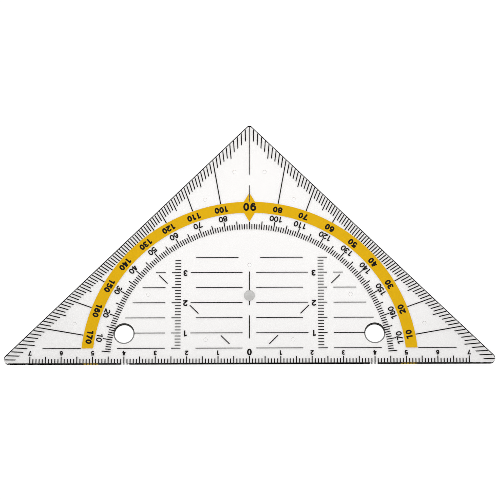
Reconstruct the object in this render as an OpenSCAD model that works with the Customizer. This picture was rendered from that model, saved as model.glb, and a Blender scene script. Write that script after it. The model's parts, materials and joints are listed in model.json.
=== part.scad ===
// Set square with a protractor: a clear moulded right triangle, printed on its underside.
// Millimetres. The origin is the zero mark of the long edge, on the surface the nubs stand on.
// +X runs along the long edge, +Y to the right-angled corner, +Z up through the plate.

/* [Plate] */
// Long edge, measured between its two sharp corners
long_edge = 160.5; // [140:0.1:240]
// Thickness of the clear plate
plate_thickness = 2; // [1:0.1:4]
// Radius of the two sharp corners
tip_radius = 1.5; // [0.5:0.1:4]
// Radius of the right-angled corner
apex_radius = 1.1; // [0.5:0.1:4]

/* [Holes] */
// Diameter of the two holes that take a clip-on handle
hole_diameter = 6; // [3:0.1:8]
// Distance of a hole from the centre line
hole_from_centre = 40; // [32:0.5:46]
// Distance of a hole from the long edge
hole_from_edge = 9.75; // [7:0.05:16]

/* [Nubs and moulding mark] */
// Diameter of the nubs that hold the print clear of the paper
nub_diameter = 1.25; // [0.8:0.05:2.5]
// Height of the nubs
nub_height = 0.3; // [0.15:0.05:0.8]
// Distance of the outer nubs from the short edges
nub_from_leg = 7.8; // [5:0.1:12]
// Diameter of the round mark that the moulding gate leaves
gate_diameter = 3.5; // [2:0.1:6]
// Distance of the gate mark from the long edge
gate_from_edge = 22.5; // [20:0.1:26]
// Depth of the gate mark
gate_depth = 0.12; // [0.05:0.01:0.4]

/* [Print] */
// Thickness of the ink
ink_thickness = 0.03; // [0.01:0.01:0.1]
// Height of the print's zero above the long edge
zero_lift = 0.2; // [0:0.05:1]
// Width of the ticks and rays along the edges
bold_width = 0.34; // [0.15:0.01:0.4]
// Width of the inner ticks, the height scales and the dashes
medium_width = 0.3; // [0.15:0.01:0.4]
// Width of the parallel lines and the right angle line
fine_width = 0.25; // [0.15:0.01:0.5]
// Bare rim between the ink and an edge of the plate
bare_rim = 0.05; // [0.02:0.01:0.5]
// Gap kept between black and yellow ink
colour_gap = 0.05; // [0.02:0.01:0.3]

/* [Long edge scale] */
// Height of a millimetre tick above the long edge
millimetre_tick = 1.8; // [1:0.05:3]
// Height of a centimetre or half centimetre tick above the long edge
centimetre_tick = 2.55; // [1.5:0.05:4]
// Bare length between the last tick and the sharp corner
scale_end_gap = 10; // [8:1:20]

/* [Protractor] */
// Room between the yellow band and the middle of a short edge
leg_strip = 2.75; // [2:0.05:5]
// Width of the yellow band
band_width = 3.75; // [2.5:0.05:6]
// Height of the band's cut ends above the long edge
band_end_height = 5; // [3:0.1:8]
// Half height of the yellow marker at the right angle
marker_half_height = 4.95; // [4:0.05:7]
// Half width of the yellow marker
marker_half_width = 2.9; // [2:0.05:4]
// Distance from the band down to the foot of the inner ticks
inner_ring_drop = 5.6; // [4:0.1:8]
// Length of an inner degree tick
inner_degree_tick = 1.75; // [1:0.05:2.4]
// Length of an inner five degree tick
inner_five_tick = 2.8; // [1.6:0.05:3.5]
// Length of an inner ten degree tick
inner_ten_tick = 3.1; // [1.6:0.05:3.8]
// Depth of a degree tick on the short edges
leg_degree_depth = 2.95; // [1.5:0.05:4]
// Depth of a five degree tick on the short edges
leg_five_depth = 3.9; // [2:0.05:5]
// Height of the bare field in the right angle line above the band
bare_field_lift = 5.6; // [4:0.1:9]
// Length of the bare field in the right angle line
bare_field_length = 3.65; // [1:0.05:6]

/* [Parallel lines] */
// Distance from one parallel line to the next
line_step = 5; // [4:0.1:8]
// Half of the gap left for the centre line
centre_gap = 2.2; // [1:0.1:3]
// Half of that gap at the top line
top_centre_gap = 3.5; // [2:0.1:6]
// Reach of the half centimetre lines from the centre
half_line_reach = 17.2; // [12:0.1:18]
// Reach of the centimetre lines from the centre
whole_line_reach = 18.9; // [13:0.1:19.5]
// Start of the outer lines from the centre
outer_line_start = 27; // [26:0.1:31]
// Room between the outer lines and the inner ticks
outer_line_gap = 2; // [1:0.1:5]
// Room between a corner line and the short edge
corner_line_gap = 9; // [6:0.1:12]

/* [Height scales and dashes] */
// Distance of the height scales from the centre line
height_scale_start = 22; // [20:0.1:22.5]
// Length of a millimetre tick on the height scales
height_short_tick = 1.9; // [1:0.05:2.5]
// Length of a half centimetre tick on the height scales
height_long_tick = 3; // [1.5:0.05:3.3]
// Length of the dashes at 45 degrees, along one axis
diagonal_dash = 2.8; // [1:0.1:3.2]
// Foot of the lower dash on the centre line
low_dash_foot = 8.1; // [5:0.1:10]
// Length of the lower dash
low_dash_length = 7.65; // [3:0.05:10]
// Foot of the upper dash on the centre line
high_dash_foot = 19.1; // [18:0.1:21]
// Length of the upper dash
high_dash_length = 11.2; // [6:0.05:14]

/* [Hidden] */
$fn = 96;

plate_colour = [0.93, 0.94, 0.94, 0.45];
black_ink = [0.08, 0.08, 0.08];
yellow_ink = [0.89, 0.70, 0.02];

half_edge = long_edge / 2;
half_leg = half_edge / sqrt(2);
// Distance from the print's zero to a short edge, straight and along X or Y
print_reach = half_edge - zero_lift;
leg_distance = print_reach / sqrt(2);
band_outer = leg_distance - leg_strip;
band_inner = band_outer - band_width;
band_middle = (band_outer + band_inner) / 2;
inner_ring = band_inner - inner_ring_drop;
marker_foot = band_middle - marker_half_height;
marker_tip = band_middle + marker_half_height;

// The scales count in millimetres, and the long edge's ends on a whole centimetre
centimetre = 10;
millimetre = centimetre / 10;
scale_count = 10 * floor((half_edge - scale_end_gap) / centimetre);
// The inner ring begins and ends where the band's ends are cut, on a whole five degrees
ring_first = 5 * round(asin(band_end_height / band_middle) / 5);
// The lines stop where the height scales would come within this distance of the inner ring
ring_clearance = 1;
scale_outside = height_scale_start + height_long_tick;
line_count = floor(sqrt((inner_ring - ring_clearance) ^ 2 - scale_outside ^ 2) / line_step);
height_first = ceil(line_step / millimetre);
height_last = floor(line_count * line_step / millimetre);
// Middle of the first dash at 45 degrees, and the way to the next, along one axis
dash_middle = 1.55 * line_step;
dash_pitch = 2 * line_step;

// Least radius that an inset leaves at a corner
least_radius = 0.01;

// Outer nubs: distances along a short edge from the corner at its end
nub_from_apex = [14.8, 28.2];
nub_from_tip = 26.5;
// Inner nubs of the right half, and the single one on the centre line
inner_nubs = [[14, 8], [32.5, 22.9]];
middle_nub = [0, 32.7];

// Point at a depth inside the right-hand short edge and a distance along it from its middle
function by_leg(along, depth) = [
    (half_leg + along - depth) / sqrt(2),
    (half_leg - along - depth) / sqrt(2)
];

function right_nubs() = concat(
    inner_nubs,
    [for (d = nub_from_apex) by_leg(d - half_leg, nub_from_leg)],
    [by_leg(half_leg - nub_from_tip, nub_from_leg)]
);

function nub_places() = concat(
    [middle_nub],
    [for (place = right_nubs(), side = [-1, 1]) [side * place[0], place[1]]]
);

// Triangle with round corners, drawn in by an inset on all sides
module plate_outline(inset = 0) {
    tip_round = max(tip_radius - inset, least_radius);
    apex_round = max(apex_radius - inset, least_radius);
    tip_x = half_edge - tip_radius / tan(22.5);
    apex_y = half_edge - apex_radius * sqrt(2);
    tip_slant = tip_round / sqrt(2);
    apex_slant = apex_round / sqrt(2);
    polygon([
        [-tip_x, tip_radius - tip_round],
        [tip_x, tip_radius - tip_round],
        [tip_x + tip_slant, tip_radius + tip_slant],
        [apex_slant, apex_y + apex_slant],
        [-apex_slant, apex_y + apex_slant],
        [-tip_x - tip_slant, tip_radius + tip_slant]
    ]);
    translate([tip_x, tip_radius]) circle(tip_round);
    translate([-tip_x, tip_radius]) circle(tip_round);
    translate([0, apex_y]) circle(apex_round);
}

// Both holes, widened by a margin
module hole_circles(margin = 0) {
    for (side = [-1, 1])
        translate([side * hole_from_centre, hole_from_edge])
            circle(hole_diameter / 2 + margin);
}

// The round gate mark, widened by a margin
module gate_circle(margin = 0) {
    translate([0, gate_from_edge])
        circle(gate_diameter / 2 + margin);
}

// All nubs, widened by a margin
module nub_circles(margin = 0) {
    for (place = nub_places())
        translate(place)
            circle(nub_diameter / 2 + margin);
}

// Flat ink on the underside of the plate, drawn from the print's zero and kept clear of the holes,
// the nubs and the gate mark
module print_film() {
    translate([0, 0, nub_height - ink_thickness])
        linear_extrude(ink_thickness)
            difference() {
                translate([0, zero_lift]) children();
                hole_circles(bare_rim);
                nub_circles(bare_rim);
                gate_circle(bare_rim);
            }
}

// Bar along a ray from the zero mark
module ray_bar(angle, from, to, width) {
    rotate(angle)
        translate([from, -width / 2])
            square([to - from, width]);
}

// Bar along X at a height
module level_bar(from, to, height, width) {
    translate([from, height - width / 2])
        square([to - from, width]);
}

// Bar along Y at a distance
module upright_bar(x, from, to, width) {
    translate([x - width / 2, from])
        square([width, to - from]);
}

// The same level bar on both sides of the centre line
module level_pair(from, to, height) {
    level_bar(from, to, height, fine_width);
    level_bar(-to, -from, height, fine_width);
}

// One moulding: the plate with its holes and gate mark, and the nubs, rooted in the plate
module clear_plate() {
    nub_root = plate_thickness / 4;
    color(plate_colour) {
        difference() {
            translate([0, 0, nub_height])
                linear_extrude(plate_thickness)
                    plate_outline();
            for (side = [-1, 1])
                translate([side * hole_from_centre, hole_from_edge, 0])
                    cylinder(d = hole_diameter, h = nub_height + 2 * plate_thickness);
            linear_extrude(nub_height + gate_depth)
                gate_circle();
        }
        linear_extrude(nub_height + nub_root)
            nub_circles();
    }
}

module yellow_protractor_band() {
    slot_width = fine_width + 2 * colour_gap;
    color(yellow_ink)
        print_film()
            difference() {
                union() {
                    intersection() {
                        difference() {
                            circle(band_outer);
                            circle(band_inner);
                        }
                        translate([-half_edge, band_end_height])
                            square([long_edge, half_edge]);
                    }
                    polygon([
                        [0, marker_foot],
                        [marker_half_width, band_middle],
                        [0, marker_tip],
                        [-marker_half_width, band_middle]
                    ]);
                }
                upright_bar(0, band_outer - colour_gap, half_edge, slot_width);
            }
}

// Ticks of the long edge scale at the given counts of millimetres
module edge_ticks(counts, height) {
    color(black_ink)
        print_film()
            for (k = counts)
                upright_bar(k * millimetre, bare_rim - zero_lift, height - zero_lift, bold_width);
}

module long_edge_millimetre_ticks() {
    edge_ticks([for (k = [-scale_count : scale_count]) if (k % 5 != 0) k], millimetre_tick);
}

module long_edge_half_centimetre_ticks() {
    edge_ticks([for (k = [5 - scale_count : 10 : scale_count]) k], centimetre_tick);
}

module long_edge_centimetre_ticks() {
    edge_ticks([for (k = [-scale_count : 10 : scale_count]) k], centimetre_tick);
}

// Ticks that stand on the inner ring
module ring_ticks(angles, length) {
    color(black_ink)
        print_film()
            for (a = angles)
                ray_bar(a, inner_ring, a == 90 ? marker_foot - colour_gap : inner_ring + length, medium_width);
}

module inner_degree_ticks() {
    ring_ticks([for (a = [ring_first : 180 - ring_first]) if (a % 5 != 0) a], inner_degree_tick);
}

module inner_five_degree_ticks() {
    ring_ticks([for (a = [ring_first : 5 : 180 - ring_first]) if (a % 10 != 0) a], inner_five_tick);
}

module inner_ten_degree_ticks() {
    ring_ticks([for (a = [10 : 10 : 170]) a], inner_ten_tick);
}

// Rays from the short edges inwards to the band
module leg_rays(angles) {
    intersection() {
        for (a = angles)
            ray_bar(a, band_outer + colour_gap, half_edge, bold_width);
        translate([0, -zero_lift]) plate_outline(bare_rim);
    }
}

// Rays that stop on a line parallel to the short edge
module leg_ticks(angles, depth) {
    foot = print_reach - depth * sqrt(2);
    color(black_ink)
        print_film()
            difference() {
                leg_rays(angles);
                polygon([[-foot, 0], [foot, 0], [0, foot]]);
            }
}

module leg_degree_ticks() {
    leg_ticks([for (a = [1 : 179]) if (a % 5 != 0) a], leg_degree_depth);
}

module leg_five_degree_ticks() {
    leg_ticks([for (a = [5 : 10 : 175]) a], leg_five_depth);
}

module leg_ten_degree_lines() {
    color(black_ink)
        print_film()
            leg_rays([for (a = [10 : 10 : 170]) if (a != 90) a]);
}

// The right angle line runs from the apex to the band, with a bare field in it
module right_angle_line() {
    apex_end = print_reach - apex_radius * (sqrt(2) - 1) - bare_rim;
    field_foot = band_outer + bare_field_lift;
    color(black_ink)
        print_film() {
            upright_bar(0, band_outer, field_foot, fine_width);
            upright_bar(0, field_foot + bare_field_length, apex_end, fine_width);
        }
}

// Two dashes on the centre line
module centre_line_dashes() {
    color(black_ink)
        print_film() {
            upright_bar(0, low_dash_foot, low_dash_foot + low_dash_length, medium_width);
            upright_bar(0, high_dash_foot, high_dash_foot + high_dash_length, medium_width);
        }
}

// Dashes on both rays at 45 degrees, between the parallel lines and inside the inner ring
module diagonal_dashes() {
    last_middle = (inner_ring - ring_clearance) / sqrt(2) - diagonal_dash / 2;
    color(black_ink)
        print_film()
            for (middle = [dash_middle : dash_pitch : last_middle], angle = [45, 135])
                ray_bar(
                    angle,
                    sqrt(2) * (middle - diagonal_dash / 2),
                    sqrt(2) * (middle + diagonal_dash / 2),
                    medium_width
                );
}

module centre_parallel_lines() {
    color(black_ink)
        print_film()
            for (k = [1 : line_count])
                level_pair(
                    k == line_count ? top_centre_gap : centre_gap,
                    k % 2 == 0 ? whole_line_reach : half_line_reach,
                    k * line_step
                );
}

// Outer lines end on a circle inside the inner ring
module outer_parallel_lines() {
    reach = inner_ring - outer_line_gap;
    color(black_ink)
        print_film()
            for (k = [1 : line_count - 1])
                if (k * line_step < reach && sqrt(reach ^ 2 - (k * line_step) ^ 2) > outer_line_start)
                    level_pair(outer_line_start, sqrt(reach ^ 2 - (k * line_step) ^ 2), k * line_step);
}

// Short lines in the two sharp corners, level with the lowest parallel line
module corner_parallel_lines() {
    color(black_ink)
        print_film()
            level_pair(
                sqrt(band_outer ^ 2 - line_step ^ 2) + 4 * colour_gap,
                print_reach - line_step - corner_line_gap,
                line_step
            );
}

// Height scale of one side, in millimetres above the long edge
module height_scale(side, last) {
    color(black_ink)
        print_film()
            for (k = [height_first : last]) {
                length = k % 5 == 0 ? height_long_tick : height_short_tick;
                start = side > 0 ? height_scale_start : -height_scale_start - length;
                level_bar(start, start + length, k * millimetre, medium_width);
            }
}

module left_height_scale() {
    height_scale(-1, height_last - 1);
}

module right_height_scale() {
    height_scale(1, height_last);
}

clear_plate();
yellow_protractor_band();
long_edge_millimetre_ticks();
long_edge_half_centimetre_ticks();
long_edge_centimetre_ticks();
inner_degree_ticks();
inner_five_degree_ticks();
inner_ten_degree_ticks();
leg_degree_ticks();
leg_five_degree_ticks();
leg_ten_degree_lines();
right_angle_line();
centre_line_dashes();
diagonal_dashes();
centre_parallel_lines();
outer_parallel_lines();
corner_parallel_lines();
left_height_scale();
right_height_scale();
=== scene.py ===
"""A clear moulded set square with a protractor printed on its underside, lying on a white table.

Lengths are millimetres and angles radians unless a name or a docstring says otherwise. +X runs along the
long edge, +Y to the right-angled corner and +Z up through the plate, with the origin at the middle of the
long edge.
"""
import json
import math

import bmesh
import bpy
import numpy as np
from mathutils import Matrix, Vector
from mathutils.geometry import delaunay_2d_cdt


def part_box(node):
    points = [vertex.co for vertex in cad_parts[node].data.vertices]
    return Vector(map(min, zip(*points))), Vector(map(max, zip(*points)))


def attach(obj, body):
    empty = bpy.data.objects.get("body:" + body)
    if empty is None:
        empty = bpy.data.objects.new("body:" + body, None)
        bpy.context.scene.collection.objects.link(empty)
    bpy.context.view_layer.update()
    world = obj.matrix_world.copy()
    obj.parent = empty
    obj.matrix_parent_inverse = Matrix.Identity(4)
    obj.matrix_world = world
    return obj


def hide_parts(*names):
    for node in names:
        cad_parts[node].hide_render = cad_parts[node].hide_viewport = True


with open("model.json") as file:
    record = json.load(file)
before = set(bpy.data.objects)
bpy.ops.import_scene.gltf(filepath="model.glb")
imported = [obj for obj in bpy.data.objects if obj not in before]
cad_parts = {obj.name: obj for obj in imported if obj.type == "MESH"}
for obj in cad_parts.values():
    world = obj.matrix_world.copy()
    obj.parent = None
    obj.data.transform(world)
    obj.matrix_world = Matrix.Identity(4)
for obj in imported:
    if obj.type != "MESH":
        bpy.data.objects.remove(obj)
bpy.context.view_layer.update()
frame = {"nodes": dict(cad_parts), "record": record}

MM = 0.001

# Flat faces are filled inside their outlines, with points nearer than the grain taken as one. A digit
# is filled while it is one unit high.
fill_inside = 1
fill_grain = 1e-6
digit_grain = 1e-5

# Points nearer than this are welded, in the new pieces and in printed marks whose ink runs
weld_reach = 1e-4
ink_weld_reach = 0.001

# Sizes read from the frame
plate_low, plate_high = (np.array(corner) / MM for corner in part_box("clear_plate"))
band_low, band_high = (np.array(corner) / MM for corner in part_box("yellow_protractor_band"))
ink_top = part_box("centre_parallel_lines")[1][2] / MM
mounts = {mount["name"]: mount for mount in frame["record"]["mounts"]}
hole_mounts = [mounts["left_hole"], mounts["right_hole"]]
hole_centres = [np.array(mount["pos_m"][:2]) / MM for mount in hole_mounts]
hole_radius = hole_mounts[0]["dims"]["r_mm"]

# Half the long edge comes from the mount on a short edge, which lies as far along X as along Y, and the
# corner radii from what the box lacks at the corners
half_edge = sum(mounts["right_short_edge"]["pos_m"][:2]) / MM
tip_radius = (half_edge - plate_high[0]) / math.sqrt(2)
apex_radius = (half_edge - plate_high[1]) / (math.sqrt(2) - 1)

# The print's zero lies a little way in from the long edge
print_zero = np.array((0, 0.2))
band_outer = math.hypot(band_high[0], band_low[1] - print_zero[1])

# The plate's underside dips a hair below the top of the ink, so that the ink lies in the plastic
ink_sink = 0.01
plate_top = plate_high[2]
plate_foot = plate_low[2]
plate_underside = ink_top - ink_sink

# Moulded detail of the plate, with the width and the depth of its rims
edge_rim = (0.08, 0.08)
front_rim_width = 0.14
hole_rim = (0.4, 0.1)
foot_rounding = 0.04
round_steps = 5
corner_steps = 24
edge_steps = 32
hole_steps = 96
nub_diameter = 1.25
nub_steps = 32
nub_foot_rounding = 0.12
nub_from_leg = 7.8
nubs_along_leg = (14.8, 28.2)
outer_nub_along_leg = 26.5
inner_nubs = ((0, 32.7), (14, 8), (32.5, 22.9))
gate_centre = np.array((0, 22.5))
gate_diameter = 3.5
gate_depth = 0.12
gate_steps = 64

# What the numbers count: centimetres to each side of the zero and up the height scales, and tens of
# degrees round the rings, where the right angle has a figure of its own
centimetre_length = 10
edge_centimetres = 7
height_centimetres = (1, 2, 3)
right_angle = 90
ring_degrees = [degrees for degrees in range(10, 2 * right_angle, 10) if degrees != right_angle]

# Printed numbers: height, share of the height that a digit and its pen are wide, and where they stand
number_lift = 0.006
number_thickness = 0.041
edge_number_height = 1.55
edge_number_lift = 3.46
zero_height = 2.23
zero_lift = 3.68
edge_pen = 0.24
zero_pen = 0.23
edge_digit = 0.68
band_number_height = 2.03
band_number_radius = band_outer - 2.0
band_two_digit_turn = -0.1
band_three_digit_turn = 0.24
band_number_slips = {10: 0.4, 70: 0.4, 80: -0.1, 100: -0.2, 140: 0.3}
band_pen = 0.26
band_digit = 0.74
two_digit_gap = 0.05
three_digit_gap = 0.02
right_angle_height = 2.79
right_angle_place = (0.11, band_number_radius + 0.24)
right_angle_pen = 0.226
right_angle_digit = 0.69
right_angle_gap = 0.127
inner_number_height = 1.92
inner_number_radius = band_outer - 5.17
inner_two_digit_turn = 0.1
inner_three_digit_turn = -0.23
inner_number_slips = {10: -0.2, 40: 0.2, 110: 0.4, 140: 0.2}
inner_pen = 0.205
inner_digit = 0.75
height_number_height = 2.0
height_numbers_across = (-20.55, 20.72)
height_number_drop = 0.17
height_pen = 0.225
height_digit = 0.71

# The clear plastic, and the share of light that one of its faces lets through to what lies below
plastic_ior = 1.5
pass_through = (1.0, 1.0, 0.998)
edge_pass_through = (0.75, 0.75, 0.75)
gate_pass_through = (0.6, 0.6, 0.59)
ink_pass_through = (0.65, 0.65, 0.65)

# Colours of the plastic from end to end of its ripples, and the colours of the shade painted on it
# towards the long edge, on its rims and on the gate mark
clear_tints = ((0.99, 0.975, 0.966), (0.98, 0.965, 0.955))
painted_shade_tint = (0.85, 0.84, 0.835)
wall_tints = ((0.97, 0.97, 0.965), (0.93, 0.93, 0.925))
front_rim_painted_shade = ((0.001, 0.001, 0.0008), (0.003, 0.003, 0.0025))
hole_rim_painted_shade = ((0.04, 0.04, 0.039), (0.06, 0.06, 0.059))
far_rim_painted_shade = front_rim_painted_shade[0]
rim_mirror_tint = (0.25, 0.25, 0.25)
gate_tints = ((0.5, 0.5, 0.49), (0.75, 0.75, 0.74))
gate_painted_shade_tint = (0.36, 0.36, 0.35)

# The moulded skin on the plate's faces, walls and rims and on the torn gate, and its relief
flat_skin = {
    "Ripples per Metre": 60.0,
    "Scratches per Metre": 220.0,
    "Least Roughness": 0.02,
    "Most Roughness": 0.06,
}
wall_skin = {"Ripples per Metre": 300.0, "Least Roughness": 0.03, "Most Roughness": 0.1}
rim_skin = {"Ripples per Metre": 900.0, "Least Roughness": 0.25, "Most Roughness": 0.4}
gate_skin = {"Ripples per Metre": 1500.0, "Least Roughness": 0.45, "Most Roughness": 0.6}
skin_relief = 0.002
gate_relief = 0.02
ripple_detail = 2

# Hair scratches: how they lie, how they are drawn out, which part of the noise they are, and their depth
# as a share of the ripples' height
scratch_detail = 1
scratch_turns = (0.5, -1.1)
scratch_stretch = (0.04, 3, 1)
scratch_levels = (0.68, 0.76)
scratch_depth = 0.03

# Painted shade: the plastic's colour darkens with the distance from the middle line and towards the long
# edge
painted_shade_aside = (30, 70)
painted_shade_aside_share = 0.45
painted_shade_height = 76
painted_shade_steepness = 2.4
painted_shade_low_share = 0.75

# Painted shade: the gate mark darkens towards its rim, between these shares of its diameter, and on its
# near half
gate_rim_shares = (0.32, 0.5)
gate_near_places = (0.3, -0.4)
gate_near_shade = 0.5

# The walls: the share of the bent light that gets through, kept low as painted shade, and the slants
# between which a wall stops mirroring
edge_bend_painted_shade = (0.45, 0.45, 0.45)
hole_bend_painted_shade = (0.03, 0.03, 0.03)
edge_slants = (0.45, 0.7)
hole_slants = (0.05, 0.25)

# Painted light: the stretches of the front wall before the holes and the foot of the holes' walls, made
# plainly see-through so that the white table shows there
glint_from_middle = 39.7
glint_half_width = 1.28
glint_depth = 1
lit_foot_height = 0.85
lit_foot_blur = 0.2

# The inks, how far the ink of some marks runs past them to each side, and how much the thin ink hides
black_tints = ((0.004, 0.003, 0.003), (0.012, 0.010, 0.009))
yellow_tints = ((0.73, 0.42, 0.001), (0.78, 0.45, 0.002))
ink_film = {
    "Mottles per Metre": 900.0,
    "Grains per Metre": 9000.0,
    "Least Roughness": 0.4,
    "Most Roughness": 0.6,
}
mottle_detail = 3
grain_detail = 1
grain_levels = (0.3, 0.7)
ink_relief = 0.004
ink_mirror = 0.05
ink_spreads = {
    "inner_degree_ticks": 0.014,
    "inner_five_degree_ticks": 0.014,
    "inner_ten_degree_ticks": 0.014,
    "diagonal_dashes": 0.012,
    "centre_parallel_lines": 0.008,
    "outer_parallel_lines": 0.008,
}
thin_ink_cover = 0.7

# The white table, and the room's brightness at heights from level with the table up to overhead
table_reach = 3000
table_drop = 0.02
table_white = (0.8, 0.8, 0.8)
table_glow = 0.22
room_levels = ((0.0, 1.0), (0.2, 1.0), (0.45, 1.26), (0.915, 1.26), (0.935, 0.15), (1.0, 0.1))

# The photograph's view
view_elevation = math.radians(74.056)
view_azimuth = 0.0213
view_distance = 651.2
view_target = np.array((3.749, 37.686, 1.0))
view_shift = -0.022
view_roll = -0.0238
view_lens = 145
view_clip = (50, 20000)
sensor_width = 36

# How many pixels wide the light of one pixel is gathered from
pixel_filter = 0.75


def turned(angle):
    """Unit vectors at these angles, one row each."""
    return np.stack([np.cos(angle), np.sin(angle)], axis=-1)


def grid_faces(rows, columns, flip):
    """Quads between the rows of a grid of points whose columns run round a closed loop."""
    row, column = np.meshgrid(np.arange(rows - 1), np.arange(columns), indexing="ij")
    beside = (column + 1) % columns
    corners = [
        row * columns + column,
        row * columns + beside,
        (row + 1) * columns + beside,
        (row + 1) * columns + column,
    ]
    if flip:
        corners.reverse()
    return np.stack(corners, axis=-1).reshape(-1, 4)


def flat_face(loops, height, facing_up):
    """Triangles that fill the first loop and leave the other loops open, all at one height. A triangle
    is kept if it lies in the first loop only."""
    flat = np.concatenate(loops)
    starts = np.cumsum([0] + [len(loop) for loop in loops[:-1]])
    outlines = [list(range(start, start + len(loop))) for loop, start in zip(loops, starts)]
    points, _, faces, _, _, sources = delaunay_2d_cdt(
        list(map(Vector, flat)), [], outlines, fill_inside, fill_grain
    )
    faces = np.array(faces)[[source == [0] for source in sources]]
    points = np.column_stack([np.array(points), np.full(len(points), height)])
    return points, faces if facing_up else faces[:, ::-1]


def build_piece(name, parts, materials):
    """One mesh from parts of (points, faces, smooth, material), welded where their edges meet."""
    points = np.concatenate([part[0] for part in parts]) * MM
    starts = np.cumsum([0] + [len(part[0]) for part in parts[:-1]])
    faces = []
    for part, start in zip(parts, starts):
        faces += (part[1] + start).tolist()
    smooth = np.concatenate([np.full(len(part[1]), part[2]) for part in parts])
    slots = np.concatenate([np.full(len(part[1]), part[3]) for part in parts])
    mesh = bpy.data.meshes.new(name)
    mesh.from_pydata(points.tolist(), [], faces)
    mesh.polygons.foreach_set("use_smooth", smooth)
    mesh.polygons.foreach_set("material_index", slots.astype(np.int32))
    for material in materials:
        mesh.materials.append(material)
    weld_points(mesh, weld_reach * MM)
    piece = bpy.data.objects.new(name, mesh)
    bpy.context.scene.collection.objects.link(piece)
    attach(piece, "root")
    return piece


def weld_points(mesh, distance):
    """Merges the points of a mesh that lie within this distance, in metres."""
    shape = bmesh.new()
    shape.from_mesh(mesh)
    bmesh.ops.remove_doubles(shape, verts=shape.verts, dist=distance)
    shape.to_mesh(mesh)
    shape.free()
    mesh.update()


# The clear plate and its materials by slot

CLEAR, EDGE, GATE, FRONT_RIM, HOLE_WALL, HOLE_RIM = range(6)


def outline_path():
    """Centres, radii and headings in degrees round the outline: a corner turns the heading about one
    centre, and a straight edge slides the centre and the radius to the next corner's with the heading
    held."""
    half_tip_angle = math.pi / 8
    side = half_edge - tip_radius / math.tan(half_tip_angle)
    apex = half_edge - apex_radius * math.sqrt(2)
    corners = np.array([
        (side, tip_radius, tip_radius),
        (0, apex, apex_radius),
        (-side, tip_radius, tip_radius),
    ])
    turns = [(-90, 45), (45, 135), (135, 270)]
    slide = np.linspace(0, 1, edge_steps, endpoint=False)[1:, None]
    rounds, headings = [], []
    for corner, following, (start, end) in zip(corners, np.roll(corners, -1, axis=0), turns):
        rounds += [np.tile(corner, (corner_steps, 1)), corner + (following - corner) * slide]
        headings += [np.linspace(start, end, corner_steps), np.full(len(slide), end)]
    rounds = np.concatenate(rounds)
    return rounds[:, :2], rounds[:, 2], np.concatenate(headings)


def edge_profile(width, depth):
    """Inset and height down a wall of the plate: a quarter of an ellipse, then the wall, and a quarter
    round at its foot."""
    turn = np.linspace(0, math.pi / 2, round_steps + 1)
    inset = np.concatenate([(1 - np.sin(turn)) * width, (1 - np.cos(turn)) * foot_rounding])
    above = plate_top - (1 - np.cos(turn)) * depth
    below = plate_underside + (1 - np.sin(turn)) * foot_rounding
    return inset, np.concatenate([above, below])


def swept(rings, heights):
    """Points of a profile carried round a path: one ring of flat points for each height."""
    heights = np.repeat(heights, rings.shape[1])
    return np.column_stack([rings.reshape(-1, 2), heights])


def nub_places():
    """Middles of the nubs: pairs beside the short edges, pairs further in and one on the centre line."""
    half_leg = half_edge / math.sqrt(2)
    along = np.array([step - half_leg for step in nubs_along_leg] + [half_leg - outer_nub_along_leg])
    beside = np.column_stack([half_leg + along - nub_from_leg, half_leg - along - nub_from_leg])
    right = np.concatenate([beside / math.sqrt(2), inner_nubs[1:]])
    return np.concatenate([right, right * (-1, 1), inner_nubs[:1]])


def nub_profile():
    """Radius and height of a nub, from the underside down a straight side and a rounded foot to the
    middle."""
    turn = np.linspace(0, math.pi / 2, round_steps + 1)
    radius = nub_diameter / 2 - nub_foot_rounding * (1 - np.cos(turn))
    height = plate_foot + nub_foot_rounding * (1 - np.sin(turn))
    radius = np.concatenate([[nub_diameter / 2], radius, [0]])
    height = np.concatenate([[plate_underside], height, [plate_foot]])
    return radius, height


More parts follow.
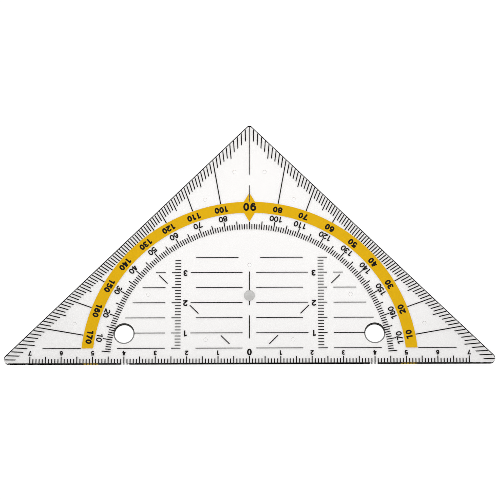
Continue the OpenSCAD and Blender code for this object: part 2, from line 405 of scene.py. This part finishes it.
def make_plate(materials):
    """The plate: its edge profile carried round the outline, with a wider rim at the front, and out from
    each hole, flat faces between them, nubs turned about their middles and the round gate mark let into
    the underside. The materials come in the order of the slots."""
    parts = []
    centres, radii, headings = outline_path()
    inset, height = edge_profile(*edge_rim)
    frontal = np.maximum(0, -turned(np.radians(headings))[:, 1])
    widening = 1 + frontal * (front_rim_width / edge_rim[0] - 1)
    reach = radii - inset[:, None] * widening
    rings = centres + reach[:, :, None] * turned(np.radians(headings))
    # the front rim's faces, which take the painted dark line
    dark = np.outer(np.arange(len(height) - 1) < round_steps, headings == headings[-1])
    slots = np.where(dark, FRONT_RIM, EDGE).ravel()
    parts.append((swept(rings, height), grid_faces(len(height), len(headings), True), True, slots))
    top_loops, underside_loops = [rings[0]], [rings[-1]]

    inset, height = edge_profile(*hole_rim)
    circle = turned(np.linspace(0, 2 * math.pi, hole_steps, endpoint=False))
    for centre in hole_centres:
        rings = centre + (hole_radius + inset)[:, None, None] * circle
        rim, wall = rings[:round_steps + 1], rings[round_steps:]
        rim_faces = grid_faces(len(rim), hole_steps, False)
        wall_faces = grid_faces(len(wall), hole_steps, False)
        parts.append((swept(rim, height[:round_steps + 1]), rim_faces, True, HOLE_RIM))
        parts.append((swept(wall, height[round_steps:]), wall_faces, True, HOLE_WALL))
        top_loops.append(rings[0])
        underside_loops.append(rings[-1])

    radius, height = nub_profile()
    circle = turned(np.linspace(0, 2 * math.pi, nub_steps, endpoint=False))
    for centre in nub_places():
        rings = centre + radius[:, None, None] * circle
        parts.append((swept(rings, height), grid_faces(len(height), nub_steps, True), True, CLEAR))
        underside_loops.append(rings[0])

    circle = turned(np.linspace(0, 2 * math.pi, gate_steps, endpoint=False))
    gate_ring = gate_centre + gate_diameter / 2 * circle
    gate_roof = plate_underside + gate_depth
    wall = swept(np.stack([gate_ring, gate_ring]), np.array([plate_underside, gate_roof]))
    parts.append((wall, grid_faces(2, gate_steps, True), True, CLEAR))
    parts.append((*flat_face([gate_ring], gate_roof, False), False, GATE))
    underside_loops.append(gate_ring)

    parts.append((*flat_face(top_loops, plate_top, True), False, CLEAR))
    parts.append((*flat_face(underside_loops, plate_underside, False), False, CLEAR))
    plate = build_piece("clear_plate_body", parts, materials)
    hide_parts("clear_plate")


# The printed numbers

def arc(centre, radii, start, end, steps=20):
    """Points along part of an ellipse, from one angle to another in degrees."""
    return np.array(centre) + np.array(radii) * turned(np.radians(np.linspace(start, end, steps)))


def curve(start, first, second, end, steps=10):
    """Points along a cubic curve with two handles."""
    share = np.linspace(0, 1, steps)[:, None]
    rest = 1 - share
    ends = rest ** 3 * np.array(start) + share ** 3 * np.array(end)
    return ends + 3 * rest * share * (rest * np.array(first) + share * np.array(second))


def pen_stroke(path, pen):
    """Quads of a pen drawn along a path: every point moves half the pen to either side, square to the
    path."""
    heading = np.gradient(path, axis=0)
    heading /= np.linalg.norm(heading, axis=1, keepdims=True)
    aside = heading[:, ::-1] * (-1, 1) * pen / 2
    left, right = path + aside, path - aside
    return np.stack([left[:-1], right[:-1], right[1:], left[1:]], axis=1)


def bar(start, end, wide):
    """One quad from a start down to an end, with both ends cut level and this wide."""
    half = np.array((wide / 2, 0))
    return np.stack([start - half, end - half, end + half, start + half])[None]


def slab(low, high):
    """One upright rectangle between two corners."""
    return np.array([low, (high[0], low[1]), high, (low[0], high[1])], dtype=float)[None]


def ring(centre, radii, pen):
    """Quads of a pen drawn once round an ellipse, with the two ends cut level so that they meet."""
    path = arc(centre, radii, 0, 360, steps=33)
    quads = pen_stroke(path, pen)
    aside = turned(np.radians([0, 0])) * (pen / 2)
    quads[0, :2] = quads[-1, 2:] = path[0] + aside * ((-1,), (1,))
    quads[-1, 2:] = quads[-1, 2:][::-1]
    return quads


def digit_strokes(digit, pen, wide):
    """The quads of one digit, one unit high and centred across, for a pen and a width in shares of the
    height. The other numbers are such shares too, or angles in degrees."""
    across = (wide - pen) / 2
    up = (1 - pen) / 2
    half = wide / 2
    if digit == "0":
        return [ring((0, 0.5), (across, up), pen)]
    if digit == "1":
        stem, flag_reach, flag_low = 0.08, 0.34, 0.68
        tip = stem - flag_reach
        flag = np.array([(tip, flag_low), (stem, 1 - pen), (stem, 1), (tip, flag_low + pen)])
        return [slab((stem - pen / 2, 0), (stem + pen / 2, 1)), flag[None]]
    if digit == "2":
        bowl = 0.58 * up
        head = arc((0, 1 - pen / 2 - bowl), (across, bowl), 170, -20)
        foot = (-across * 0.9, pen * 0.6)
        upper_handle = head[-1] - (0.02, 0.14)
        lower_handle = (-across * 0.5, 0.34)
        tail = curve(head[-1], upper_handle, lower_handle, foot)
        return [pen_stroke(np.concatenate([head, tail[1:]]), pen), slab((-half, 0), (half, pen))]
    if digit == "3":
        upper, lower = 0.47 * up, 0.53 * up
        waist = pen / 2 + 2 * lower
        head = arc((0, waist + upper), (across * 0.94, upper), 165, -90)
        foot = arc((0, pen / 2 + lower), (across, lower), 90, -165)
        join = slab((-0.1, waist - pen / 2), (0.02, waist + pen / 2))
        return [pen_stroke(head, pen), pen_stroke(foot, pen), join]
    if digit == "4":
        stem, beam = 0.12, 0.22
        top = np.array((stem - pen / 2 + 0.02, 1))
        foot = np.array((-half + pen * 0.62, beam))
        return [
            slab((stem - pen / 2, 0), (stem + pen / 2, 1)),
            slab((-half, beam), (half, beam + pen)),
            bar(top, foot, pen * 1.25),
        ]
    if digit == "5":
        bowl = 0.66 * up
        foot = arc((0, pen / 2 + bowl), (across, bowl), 140, -160)
        back_top = np.array((-across * 0.78, 1))
        back_foot = np.array((-across * 0.95, 0.46))
        roof = slab((back_top[0] - pen / 2, 1 - pen), (half * 0.9, 1))
        return [pen_stroke(foot, pen), bar(back_top, back_foot, pen), roof]
    if digit == "6":
        bowl = 0.64 * up
        back = arc((0, 0.5), (across, up), 215, 40)
        return [ring((0, pen / 2 + bowl), (across, bowl), pen), pen_stroke(back, pen)]
    if digit == "7":
        top = np.array((half - pen * 0.6, 1))
        foot = np.array((-half * 0.32, 0))
        return [slab((-half, 1 - pen), (half, 1)), bar(top, foot, pen * 1.15)]
    if digit == "8":
        upper, lower = 0.46 * up, 0.54 * up
        head = ring((0, 1 - pen / 2 - upper), (across * 0.9, upper), pen)
        return [head, ring((0, pen / 2 + lower), (across, lower), pen)]
    return [quads * (-1, -1) + (0, 1) for quads in digit_strokes("6", pen, wide)]


def digit_solid(digit, pen, wide):
    """Points and triangles of one digit's film: the union of its strokes, once on top and once below,
    with walls along the edges that only one triangle has. The digit is one unit high, and so is the
    film."""
    quads = np.concatenate(digit_strokes(digit, pen, wide))
    corners = quads.reshape(-1, 2)
    outlines = np.arange(len(corners)).reshape(-1, 4).tolist()
    flat, _, triangles, _, _, sources = delaunay_2d_cdt(
        list(map(Vector, corners)), [], outlines, fill_inside, digit_grain
    )
    triangles = np.array(triangles)[[bool(source) for source in sources]]
    count = len(flat)
    sides = np.concatenate([triangles[:, (0, 1)], triangles[:, (1, 2)], triangles[:, (2, 0)]])
    forward = sides[:, 0] * count + sides[:, 1]
    backward = sides[:, 1] * count + sides[:, 0]
    rim = sides[~np.isin(forward, backward)]
    above = np.column_stack([np.array(flat), np.ones(count)])
    below = np.column_stack([np.array(flat), np.zeros(count)])
    first = np.column_stack([rim[:, 0] + count, rim[:, 1] + count, rim[:, 1]])
    second = np.column_stack([rim[:, 0] + count, rim[:, 1], rim[:, 0]])
    faces = np.concatenate([triangles, triangles[:, ::-1] + count, first, second])
    return np.concatenate([above, below]), faces


digit_shapes = {}


def number_parts(number, middle, reading, height, pen, wide, gap=0):
    """The digits of one number as parts: set out along the reading angle about the number's middle,
    which is measured from the print's zero."""
    text = str(number)
    step = (wide + gap) * height
    across, up = turned(np.array([reading, reading + math.pi / 2]))
    film_low = ink_top + number_lift - number_thickness
    parts = []
    for place, digit in enumerate(text):
        key = (digit, pen, wide)
        if key not in digit_shapes:
            digit_shapes[key] = digit_solid(*key)
        shape, faces = digit_shapes[key]
        along = (place - (len(text) - 1) / 2) * step + shape[:, :1] * height
        flat = print_zero + middle + along * across + (shape[:, 1:2] - 0.5) * height * up
        points = np.column_stack([flat, film_low + shape[:, 2] * number_thickness])
        parts.append((points, faces, False, 0))
    return parts


def make_numbers(name, parts, ink):
    """One piece from the parts of a row of numbers."""
    piece = build_piece(name, parts, [ink])


def make_edge_numbers(ink):
    """The centimetres of the long edge, read from the far side, with a larger zero in the middle."""
    parts = []
    for centimetre in range(-edge_centimetres, edge_centimetres + 1):
        tall, lift, pen = edge_number_height, edge_number_lift, edge_pen
        if centimetre == 0:
            tall, lift, pen = zero_height, zero_lift, zero_pen
        middle = np.array((centimetre_length * centimetre, lift))
        parts += number_parts(abs(centimetre), middle, math.pi, tall, pen, edge_digit)
    make_numbers("long_edge_numbers", parts, ink)


def make_band_numbers(ink):
    """The tens of degrees in the yellow band, which read along the ring."""
    parts = []
    for degrees in ring_degrees:
        angle = math.radians(degrees)
        gap, turn = two_digit_gap, band_two_digit_turn
        if degrees > right_angle:
            gap, turn = three_digit_gap, band_three_digit_turn
        turn += band_number_slips.get(degrees, 0)
        middle = band_number_radius * turned(angle + turn / band_number_radius)
        parts += number_parts(
            degrees, middle, angle + math.pi / 2, band_number_height, band_pen, band_digit, gap
        )
    make_numbers("band_degree_numbers", parts, ink)


def make_inner_numbers(ink):
    """The inner ring of tens of degrees, which counts the other way."""
    parts = []
    for degrees in ring_degrees:
        angle = math.radians(degrees)
        number = 2 * right_angle - degrees
        turn = inner_two_digit_turn if number < right_angle else inner_three_digit_turn
        turn += inner_number_slips.get(number, 0)
        middle = inner_number_radius * turned(angle + turn / inner_number_radius)
        parts += number_parts(
            number, middle, angle + math.pi / 2, inner_number_height, inner_pen, inner_digit
        )
    make_numbers("inner_degree_numbers", parts, ink)


def make_right_angle_number(ink):
    """The large right angle figure in the yellow marker."""
    middle, tall = np.array(right_angle_place), right_angle_height
    parts = number_parts(
        right_angle, middle, math.pi, tall, right_angle_pen, right_angle_digit, right_angle_gap
    )
    make_numbers("right_angle_number", parts, ink)


def make_height_numbers(ink):
    """The centimetres of the two height scales."""
    parts = []
    for centimetre in height_centimetres:
        for across in height_numbers_across:
            middle = np.array((across, centimetre_length * centimetre - height_number_drop))
            parts += number_parts(
                centimetre, middle, math.pi, height_number_height, height_pen, height_digit
            )
    make_numbers("height_numbers", parts, ink)


# Materials

def add_node(tree, kind, **settings):
    """A new node with its settings."""
    node = tree.nodes.new(kind)
    for name, value in settings.items():
        setattr(node, name, value)
    return node


def feed(tree, socket, term):
    """Links an input to another node's value, or sets it to a number or to a colour of three shares."""
    if isinstance(term, bpy.types.NodeSocket):
        tree.links.new(term, socket)
    elif socket.type == "RGBA":
        socket.default_value = (*term, 1)
    else:
        socket.default_value = term


def calculated(tree, operation, *terms):
    """The result of one operation on terms, each a number or another node's value."""
    node = add_node(tree, "ShaderNodeMath", operation=operation)
    for socket, term in zip(node.inputs, terms):
        feed(tree, socket, term)
    return node.outputs["Value"]


def ranged(tree, value, start, end, low=0, high=1, kind="LINEAR"):
    """A value that goes from low to high while another goes from start to end, and stays there."""
    node = add_node(tree, "ShaderNodeMapRange", interpolation_type=kind)
    terms = {"Value": value, "From Min": start, "From Max": end, "To Min": low, "To Max": high}
    for name, term in terms.items():
        feed(tree, node.inputs[name], term)
    return node.outputs["Result"]


def place_on_part(tree):
    """The place of a point in the part's own frame, in metres."""
    return add_node(tree, "ShaderNodeTexCoord").outputs["Object"]


def place_axes(tree, place):
    """The X, Y and Z of a place."""
    axes = add_node(tree, "ShaderNodeSeparateXYZ")
    tree.links.new(place, axes.inputs["Vector"])
    return axes.outputs


def noise_at(tree, place, scale, detail):
    """Smooth noise with about this many bumps in a metre."""
    node = add_node(tree, "ShaderNodeTexNoise")
    node.inputs["Detail"].default_value = detail
    tree.links.new(place, node.inputs["Vector"])
    tree.links.new(scale, node.inputs["Scale"])
    return node.outputs["Fac"]


def tinted(tree, factor, low, high):
    """A colour that goes from low to high with a factor. Low may be another node's colour."""
    mix = add_node(tree, "ShaderNodeMix", data_type="RGBA")
    for name, term in {"Factor": factor, "A": low, "B": high}.items():
        feed(tree, mix.inputs[name], term)
    return mix.outputs["Result"]


def blended(tree, share, first, second):
    """A shader that goes from the first to the second with the share."""
    mix = add_node(tree, "ShaderNodeMixShader")
    for socket, term in zip(mix.inputs, (share, first, second)):
        tree.links.new(term, socket)
    return mix.outputs["Shader"]


def make_group(name, inputs, outputs):
    """An empty node group with number inputs and outputs, and the sockets inside it for both."""
    group = bpy.data.node_groups.new(name, "ShaderNodeTree")
    for label, value in inputs.items():
        socket = group.interface.new_socket(label, in_out="INPUT", socket_type="NodeSocketFloat")
        socket.default_value = value
    for label in outputs:
        group.interface.new_socket(label, in_out="OUTPUT", socket_type="NodeSocketFloat")
    return group, add_node(group, "NodeGroupInput").outputs, add_node(group, "NodeGroupOutput").inputs


def add_group(tree, group, values):
    """What the group puts out when it is placed in a tree with these values."""
    node = add_node(tree, "ShaderNodeGroup", node_tree=group)
    for name, value in values.items():
        node.inputs[name].default_value = value
    return node.outputs


def make_print_grain():
    """Screen printed ink: slow mottling, fine grain, and a roughness that follows the grain."""
    group, given, result = make_group("print_grain", ink_film, ["Mottle", "Grain", "Roughness"])
    place = place_on_part(group)
    mottle = noise_at(group, place, given["Mottles per Metre"], mottle_detail)
    grain = noise_at(group, place, given["Grains per Metre"], grain_detail)
    rough = ranged(group, grain, *grain_levels, given["Least Roughness"], given["Most Roughness"])
    group.links.new(mottle, result["Mottle"])
    group.links.new(grain, result["Grain"])
    group.links.new(rough, result["Roughness"])
    return group


def make_moulded_skin():
    """Moulded plastic: slow ripples left by the flow, fine hair scratches in two directions, and painted
    shade that darkens the plastic towards the long edge and its two sharp corners."""
    outputs = ["Ripple", "Relief", "Roughness", "Painted Shade"]
    group, given, result = make_group("moulded_skin", flat_skin, outputs)
    place = place_on_part(group)
    ripple = noise_at(group, place, given["Ripples per Metre"], ripple_detail)
    hairs = []
    for turn in scratch_turns:
        stretch = add_node(group, "ShaderNodeMapping")
        stretch.inputs["Rotation"].default_value = (0, 0, turn)
        stretch.inputs["Scale"].default_value = scratch_stretch
        group.links.new(place, stretch.inputs["Vector"])
        hair = noise_at(group, stretch.outputs["Vector"], given["Scratches per Metre"], scratch_detail)
        hairs.append(ranged(group, hair, *scratch_levels))
    scratch = calculated(group, "MAXIMUM", *hairs)
    rough = ranged(group, scratch, 0, 1, given["Least Roughness"], given["Most Roughness"])
    relief = calculated(group, "ADD", ripple, calculated(group, "MULTIPLY", scratch, -scratch_depth))
    axes = place_axes(group, place)
    from_middle = calculated(group, "ABSOLUTE", axes["X"])
    start, end = (distance * MM for distance in painted_shade_aside)
    aside = ranged(group, from_middle, start, end, 0, painted_shade_aside_share, "SMOOTHSTEP")
    low = calculated(group, "POWER", ranged(group, axes["Y"], painted_shade_height * MM, 0), painted_shade_steepness)
    painted_shade = calculated(group, "MULTIPLY_ADD", low, painted_shade_low_share, aside)
    group.links.new(ripple, result["Ripple"])
    group.links.new(relief, result["Relief"])
    group.links.new(rough, result["Roughness"])
    group.links.new(painted_shade, result["Painted Shade"])
    return group


def new_material(name):
    """An empty node material, its tree and the socket that takes its shader."""
    material = bpy.data.materials.new(name)
    material.use_nodes = True
    tree = material.node_tree
    tree.nodes.clear()
    return material, tree, add_node(tree, "ShaderNodeOutputMaterial").inputs["Surface"]


def add_surface(tree, colour, roughness, height, relief):
    """A Principled shader of this colour and roughness, with the small relief of a height."""
    surface = add_node(tree, "ShaderNodeBsdfPrincipled")
    bump = add_node(tree, "ShaderNodeBump")
    bump.inputs["Strength"].default_value = 1
    bump.inputs["Distance"].default_value = relief * MM
    tree.links.new(height, bump.inputs["Height"])
    tree.links.new(bump.outputs["Normal"], surface.inputs["Normal"])
    tree.links.new(colour, surface.inputs["Base Color"])
    tree.links.new(roughness, surface.inputs["Roughness"])
    return surface


def add_plastic(tree, texture, colour, relief):
    """The clear plastic in this colour, with the roughness and the relief of its skin."""
    surface = add_surface(tree, colour, texture["Roughness"], texture["Relief"], relief)
    surface.inputs["Transmission Weight"].default_value = 1
    surface.inputs["IOR"].default_value = plastic_ior
    return surface


def let_light_through(tree, shader, colour):
    """A shader that is plainly see-through to light on its way to what it covers."""
    path = add_node(tree, "ShaderNodeLightPath")
    through = add_node(tree, "ShaderNodeBsdfTransparent")
    feed(tree, through.inputs["Color"], colour)
    for ray in ("Is Shadow Ray", "Is Diffuse Ray"):
        shader = blended(tree, path.outputs[ray], shader, through.outputs["BSDF"])
    return shader


def open_where(tree, lit, shader):
    """A shader that is plainly see-through where the lit mask is one."""
    through = add_node(tree, "ShaderNodeBsdfTransparent")
    return blended(tree, lit, shader, through.outputs["BSDF"])


def make_ink(name, grain, tints, cover=1):
    """Printed ink whose colour shifts a little where the film is thin, and which hardly shades the
    table. The cover is how much of what lies behind the film it hides."""
    material, tree, result = new_material(name)
    texture = add_group(tree, grain, ink_film)
    colour = tinted(tree, texture["Mottle"], *tints)
    surface = add_surface(tree, colour, texture["Roughness"], texture["Grain"], ink_relief)
    surface.inputs["Specular IOR Level"].default_value = ink_mirror
    surface.inputs["Alpha"].default_value = cover
    tree.links.new(let_light_through(tree, surface.outputs["BSDF"], ink_pass_through), result)
    return material


def let_ink_spread(node, reach):
    """Widens printed marks a little to all sides, as ink runs: their corners move out along the
    diagonal."""
    weld = node.modifiers.new("joined", "WELD")
    weld.merge_threshold = ink_weld_reach * MM
    spread = node.modifiers.new("spread", "DISPLACE")
    spread.mid_level = 0
    spread.strength = reach * math.sqrt(3) * MM


def make_clear_plastic(skin):
    """Clear moulded plastic that bends what lies behind it and lets the studio's light through."""
    material, tree, result = new_material("clear_plastic")
    texture = add_group(tree, skin, flat_skin)
    flow = tinted(tree, texture["Ripple"], *clear_tints)
    # painted shade: the plastic's colour darkens towards the long edge and its two sharp corners
    colour = tinted(tree, texture["Painted Shade"], flow, painted_shade_tint)
    surface = add_plastic(tree, texture, colour, skin_relief)
    tree.links.new(let_light_through(tree, surface.outputs["BSDF"], pass_through), result)
    return material


def front_glints(tree):
    """Painted glints: one on the two short stretches of the front wall that face the holes, and nothing
    elsewhere, standing in for the light that each hole lets into the wall before it."""
    axes = place_axes(tree, place_on_part(tree))
    from_middle = calculated(tree, "ABSOLUTE", axes["X"])
    past_glint = calculated(tree, "SUBTRACT", from_middle, glint_from_middle * MM)
    from_glint = calculated(tree, "ABSOLUTE", past_glint)
    along = calculated(tree, "LESS_THAN", from_glint, glint_half_width * MM)
    front = calculated(tree, "LESS_THAN", axes["Y"], glint_depth * MM)
    return calculated(tree, "MULTIPLY", along, front)


def lit_foot(tree):
    """Painted light: one on the lower part of the holes' walls, where the wall shows the white table as
    if the table lit it, and nothing above it.
    """
    height = place_axes(tree, place_on_part(tree))["Z"]
    top = plate_underside + lit_foot_height
    start, end = (top + lit_foot_blur) * MM, (top - lit_foot_blur) * MM
    return ranged(tree, height, start, end, kind="SMOOTHSTEP")


def make_wall(name, skin, bend, shade, slants, lit_part):
    """A wall of the plate: the same plastic, but where the wall is met at a slant it only bends the light
    and mirrors none, so that the light caught inside the plate leaves a dark line along it. The bend is
    the share of the bent light that gets through, kept low as painted shade that darkens the wall, the
    light that crosses the wall on its way to the table takes the shade, and the lit part is plainly
    see-through as painted light."""
    material, tree, result = new_material(name)
    texture = add_group(tree, skin, wall_skin)
    surface = add_plastic(tree, texture, tinted(tree, texture["Ripple"], *wall_tints), skin_relief)
    bent = add_node(tree, "ShaderNodeBsdfRefraction")
    for socket, term in {"Color": bend, "IOR": plastic_ior, "Roughness": 0}.items():
        feed(tree, bent.inputs[socket], term)
    facing = add_node(tree, "ShaderNodeLayerWeight").outputs["Facing"]
    wall = blended(tree, ranged(tree, facing, *slants), surface.outputs["BSDF"], bent.outputs["BSDF"])
    shine = let_light_through(tree, wall, shade)
    tree.links.new(open_where(tree, lit_part(tree), shine), result)
    return material


def make_far_side():
    """Painted shade: grows from nothing beside the middles of the holes to one on their far sides."""
    group, _, result = make_group("painted_far_shade", {}, ["Shade"])
    across = place_axes(group, place_on_part(group))["Y"]
    start = hole_centres[0][1] * MM
    end = (hole_centres[0][1] + hole_radius / 2) * MM
    group.links.new(ranged(group, across, start, end, kind="SMOOTHSTEP"), result["Shade"])
    return group


def make_dull_rim(name, skin, tints, lit_part=None, painted_far_shade=None):
    """A rounded rim of the plate with painted shade: the plastic's colour is painted dark and it mirrors
    little, so that the rim shows as a dark line, with a lit part as on a wall. With a painted far shade,
    it is painted nearly black there."""
    material, tree, result = new_material(name)
    texture = add_group(tree, skin, rim_skin)
    # painted shade: the rim's colour is painted dark
    colour = tinted(tree, texture["Ripple"], *tints)
    # painted shade: the hole rim is painted nearly black on the holes' far sides
    if painted_far_shade:
        colour = tinted(tree, add_group(tree, painted_far_shade, {})["Shade"], colour, far_rim_painted_shade)
    surface = add_plastic(tree, texture, colour, skin_relief)
    feed(tree, surface.inputs["Specular Tint"], rim_mirror_tint)
    shine = let_light_through(tree, surface.outputs["BSDF"], pass_through)
    if lit_part:
        shine = open_where(tree, lit_part(tree), shine)
    tree.links.new(shine, result)
    return material


def make_gate_shade():
    """Painted shade: grows from nothing to one towards the rim of the moulding gate, and to half on its
    near side.
    """
    group, _, result = make_group("gate_shade", {}, ["Shade"])
    apart = add_node(group, "ShaderNodeVectorMath", operation="SUBTRACT")
    apart.inputs[1].default_value = np.array((*gate_centre, plate_underside + gate_depth)) * MM
    group.links.new(place_on_part(group), apart.inputs[0])
    reach = add_node(group, "ShaderNodeVectorMath", operation="LENGTH")
    group.links.new(apart.outputs["Vector"], reach.inputs[0])
    start, end = (share * gate_diameter * MM for share in gate_rim_shares)
    rim = ranged(group, reach.outputs["Value"], start, end, kind="SMOOTHSTEP")
    across = place_axes(group, apart.outputs["Vector"])["Y"]
    start, end = (distance * MM for distance in gate_near_places)
    near = ranged(group, across, start, end, 0, gate_near_shade, "SMOOTHSTEP")
    group.links.new(calculated(group, "MAXIMUM", rim, near), result["Shade"])
    return group


def make_frosted_plastic(skin):
    """The torn face of the moulding gate: the same plastic, frosted and grey, with painted shade that
    darkens it towards its rim and on its near half."""
    material, tree, result = new_material("frosted_gate")
    texture = add_group(tree, skin, gate_skin)
    flow = tinted(tree, texture["Ripple"], *gate_tints)
    shade = add_group(tree, make_gate_shade(), {})["Shade"]
    surface = add_plastic(tree, texture, tinted(tree, shade, flow, gate_painted_shade_tint), gate_relief)
    tree.links.new(let_light_through(tree, surface.outputs["BSDF"], gate_pass_through), result)
    return material


# The studio

def seen_directly(tree):
    """One for rays from the camera, from a mirror or through glass, and nothing for stray light."""
    path = add_node(tree, "ShaderNodeLightPath")
    seen = path.outputs["Is Camera Ray"]
    for ray in ("Is Glossy Ray", "Is Transmission Ray"):
        seen = calculated(tree, "MAXIMUM", seen, path.outputs[ray])
    return seen


def make_floor():
    """A wide white table: mostly lit by the studio, with a glow where it is seen so that it shows
    white."""
    flat = np.array([(-1, -1), (1, -1), (1, 1), (-1, 1)]) * table_reach
    points = np.column_stack([flat, np.full(len(flat), -table_drop)]) * MM
    mesh = bpy.data.meshes.new("table")
    mesh.from_pydata(points.tolist(), [], [(0, 1, 2, 3)])
    floor = bpy.data.objects.new("table", mesh)
    bpy.context.scene.collection.objects.link(floor)
    material, tree, result = new_material("white_table")
    lit = add_node(tree, "ShaderNodeBsdfDiffuse")
    feed(tree, lit.inputs["Color"], table_white)
    glow = add_node(tree, "ShaderNodeEmission")
    strength = calculated(tree, "MULTIPLY", seen_directly(tree), table_glow)
    tree.links.new(strength, glow.inputs["Strength"])
    both = add_node(tree, "ShaderNodeAddShader")
    tree.links.new(lit.outputs["BSDF"], both.inputs[0])
    tree.links.new(glow.outputs["Emission"], both.inputs[1])
    tree.links.new(both.outputs["Shader"], result)
    mesh.materials.append(material)


def make_world():
    """A white room: even walls, brighter soft panels half way up, and a dim ceiling overhead."""
    world = bpy.data.worlds.new("studio")
    world.use_nodes = True
    bpy.context.scene.world = world
    tree = world.node_tree
    tree.nodes.clear()
    output = add_node(tree, "ShaderNodeOutputWorld")
    shine = add_node(tree, "ShaderNodeBackground")
    ramp = add_node(tree, "ShaderNodeValToRGB")
    stops = ramp.color_ramp.elements
    for height, _ in room_levels[1:-1]:
        stops.new(height)
    for stop, (_, level) in zip(stops, room_levels):
        stop.color = (level, level, level, 1)
    direction = add_node(tree, "ShaderNodeTexCoord").outputs["Generated"]
    tree.links.new(place_axes(tree, direction)["Z"], ramp.inputs["Fac"])
    tree.links.new(ramp.outputs["Color"], shine.inputs["Color"])
    tree.links.new(shine.outputs["Background"], output.inputs["Surface"])


def make_camera():
    """The photograph's view: high over the long edge, looking along +Y, with the long edge nearest. It
    stands a little to the right, is rolled a little and is shifted a little aside."""
    data = bpy.data.cameras.new("camera")
    data.lens = view_lens
    data.sensor_width = sensor_width
    data.shift_x = view_shift
    data.clip_start, data.clip_end = (distance * MM for distance in view_clip)
    camera = bpy.data.objects.new("camera", data)
    bpy.context.scene.collection.objects.link(camera)
    level = math.cos(view_elevation)
    back = np.array(
        (level * math.sin(view_azimuth), -level * math.cos(view_azimuth), math.sin(view_elevation))
    )
    spot = Vector((view_target + view_distance * back) * MM)
    aim = Vector(-back).to_track_quat("-Z", "Y").to_matrix()
    roll = Matrix.Rotation(view_roll, 3, "Z")
    camera.matrix_world = Matrix.Translation(spot) @ (aim @ roll).to_4x4()
    bpy.context.scene.camera = camera


make_camera()
make_world()
make_floor()
grain = make_print_grain()
skin = make_moulded_skin()
black_ink = make_ink("black_ink", grain, black_tints)
thin_ink = make_ink("thin_black_ink", grain, black_tints, thin_ink_cover)
yellow_ink = make_ink("yellow_ink", grain, yellow_tints)
inks = {"yellow_protractor_band": yellow_ink, "right_angle_line": thin_ink}
for name, node in frame["nodes"].items():
    if name != "clear_plate":
        node.data.materials.clear()
        node.data.materials.append(inks.get(name, black_ink))
    if name in ink_spreads:
        let_ink_spread(node, ink_spreads[name])

make_plate([
    make_clear_plastic(skin),
    make_wall("plate_edge", skin, edge_bend_painted_shade, edge_pass_through, edge_slants, front_glints),
    make_frosted_plastic(skin),
    make_dull_rim("front_rim", skin, front_rim_painted_shade, front_glints),
    make_wall("hole_wall", skin, hole_bend_painted_shade, pass_through, hole_slants, lit_foot),
    make_dull_rim("hole_rim", skin, hole_rim_painted_shade, painted_far_shade=make_far_side()),
])
make_edge_numbers(black_ink)
make_band_numbers(black_ink)
make_inner_numbers(black_ink)
make_right_angle_number(black_ink)
make_height_numbers(black_ink)

bpy.context.scene.view_settings.view_transform = "Standard"
bpy.context.scene.cycles.filter_width = pixel_filter
